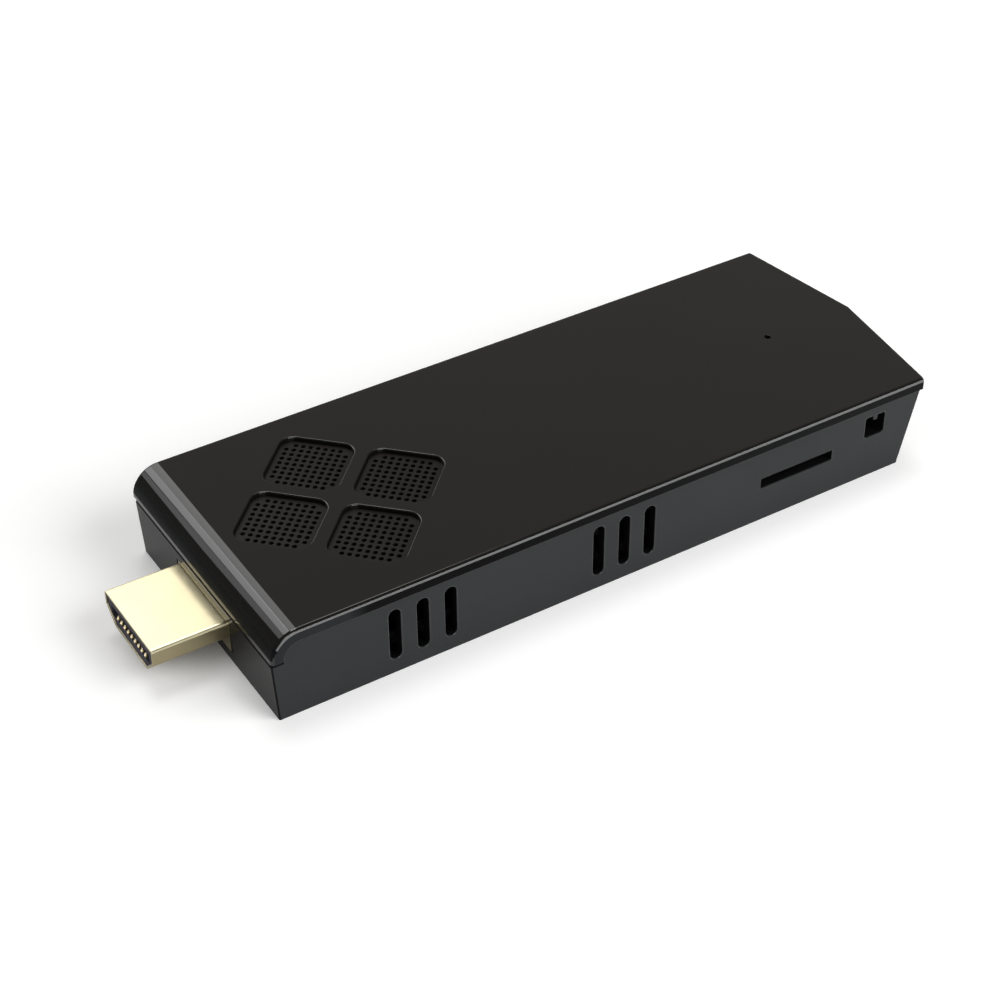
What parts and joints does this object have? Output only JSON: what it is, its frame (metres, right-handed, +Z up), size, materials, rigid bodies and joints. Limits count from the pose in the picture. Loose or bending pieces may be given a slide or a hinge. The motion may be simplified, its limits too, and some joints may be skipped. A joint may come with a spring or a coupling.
{
  "type": "hdmi stick computer",
  "caption": "Stick computer with a video plug at one end, a glossy cover that rolls over the front, a square-pad vent grille, side slots, ports, a card slot and a power button",
  "frame": {"origin": "middle of the flat bottom face that the stick lies on", "axes": "plug towards -X, pointed tail towards +X, card slot side -Y, port side +Y, +Z up"},
  "size_m": [0.1117, 0.039, 0.0132],
  "materials": {
    "cover_gloss": "black gloss with a hard coat",
    "base_satin": "dark grey satin moulding",
    "button_satin": "dark grey satin moulding",
    "grille_satin": "black satin moulding",
    "gold_plate": "pale gold plate",
    "contact_gold": "gold plate",
    "core_plastic": "dark moulding",
    "blue_plastic": "blue moulding",
    "port_steel": "nickel plated steel",
    "screw_steel": "black zinc plate",
    "board_mask": "black solder mask",
    "chip_black": "moulded package",
    "ceramic_tan": "fired ceramic",
    "sink_metal": "black anodised",
    "pad_soft": "soft pad",
    "antenna_copper": "copper on film",
    "lead_jacket": "black jacket",
    "stem_plastic": "pale moulding",
    "lamp_clear": "clear moulding"
  },
  "bodies": {
    "case": {"top_cover": "cover_gloss", "base_tray": "base_satin", "grille_panel": "grille_satin", "hdmi_shell": "gold_plate", "hdmi_contacts": "contact_gold", "usb3_contacts": "contact_gold", "usb2_contacts": "contact_gold", "power_port_contacts": "contact_gold", "card_contacts": "contact_gold", "hdmi_core": "core_plastic", "usb2_tongue": "core_plastic", "power_port_tongue": "core_plastic", "card_frame": "core_plastic", "switch_body": "core_plastic", "usb3_tongue": "blue_plastic", "usb3_shell": "port_steel", "usb2_shell": "port_steel", "power_port_shell": "port_steel", "card_lid": "port_steel", "card_spring": "port_steel", "wifi_shield": "port_steel", "clock_crystal": "port_steel", "case_screws": "screw_steel", "heat_sink_screws": "screw_steel", "main_board": "board_mask", "wifi_module": "board_mask", "processor": "chip_black", "memory_chips": "chip_black", "storage_chip": "chip_black", "power_chip": "chip_black", "power_coils": "chip_black", "capacitors": "ceramic_tan", "heat_sink": "sink_metal", "thermal_pad": "pad_soft", "antenna": "antenna_copper", "antenna_lead": "lead_jacket", "status_lamp": "lamp_clear", "light_pipe": "lamp_clear"},
    "button": {"power_button": "button_satin"},
    "stem": {"switch_stem": "stem_plastic"},
    "slider": {"card_slider": "stem_plastic"}
  },
  "joints": [
    {"name": "button_press", "type": "slide", "parent": "case", "child": "button", "axis": [0, -1, 0], "range_m": [0, 0.00025], "stiffness_N_per_m": 1500, "springref_m": -0.0002},
    {"name": "stem_press", "type": "slide", "parent": "case", "child": "stem", "axis": [0, -1, 0], "range_m": [0, 0.00025]},
    {"name": "card_slide", "type": "slide", "parent": "case", "child": "slider", "axis": [0, 1, 0], "range_m": [0, 0.0046], "stiffness_N_per_m": 60, "springref_m": -0.003, "deforming": ["card_spring"]}
  ],
  "couplings": [
    {"joint": "stem_press", "follows": "button_press", "ratio": 1}
  ]
}
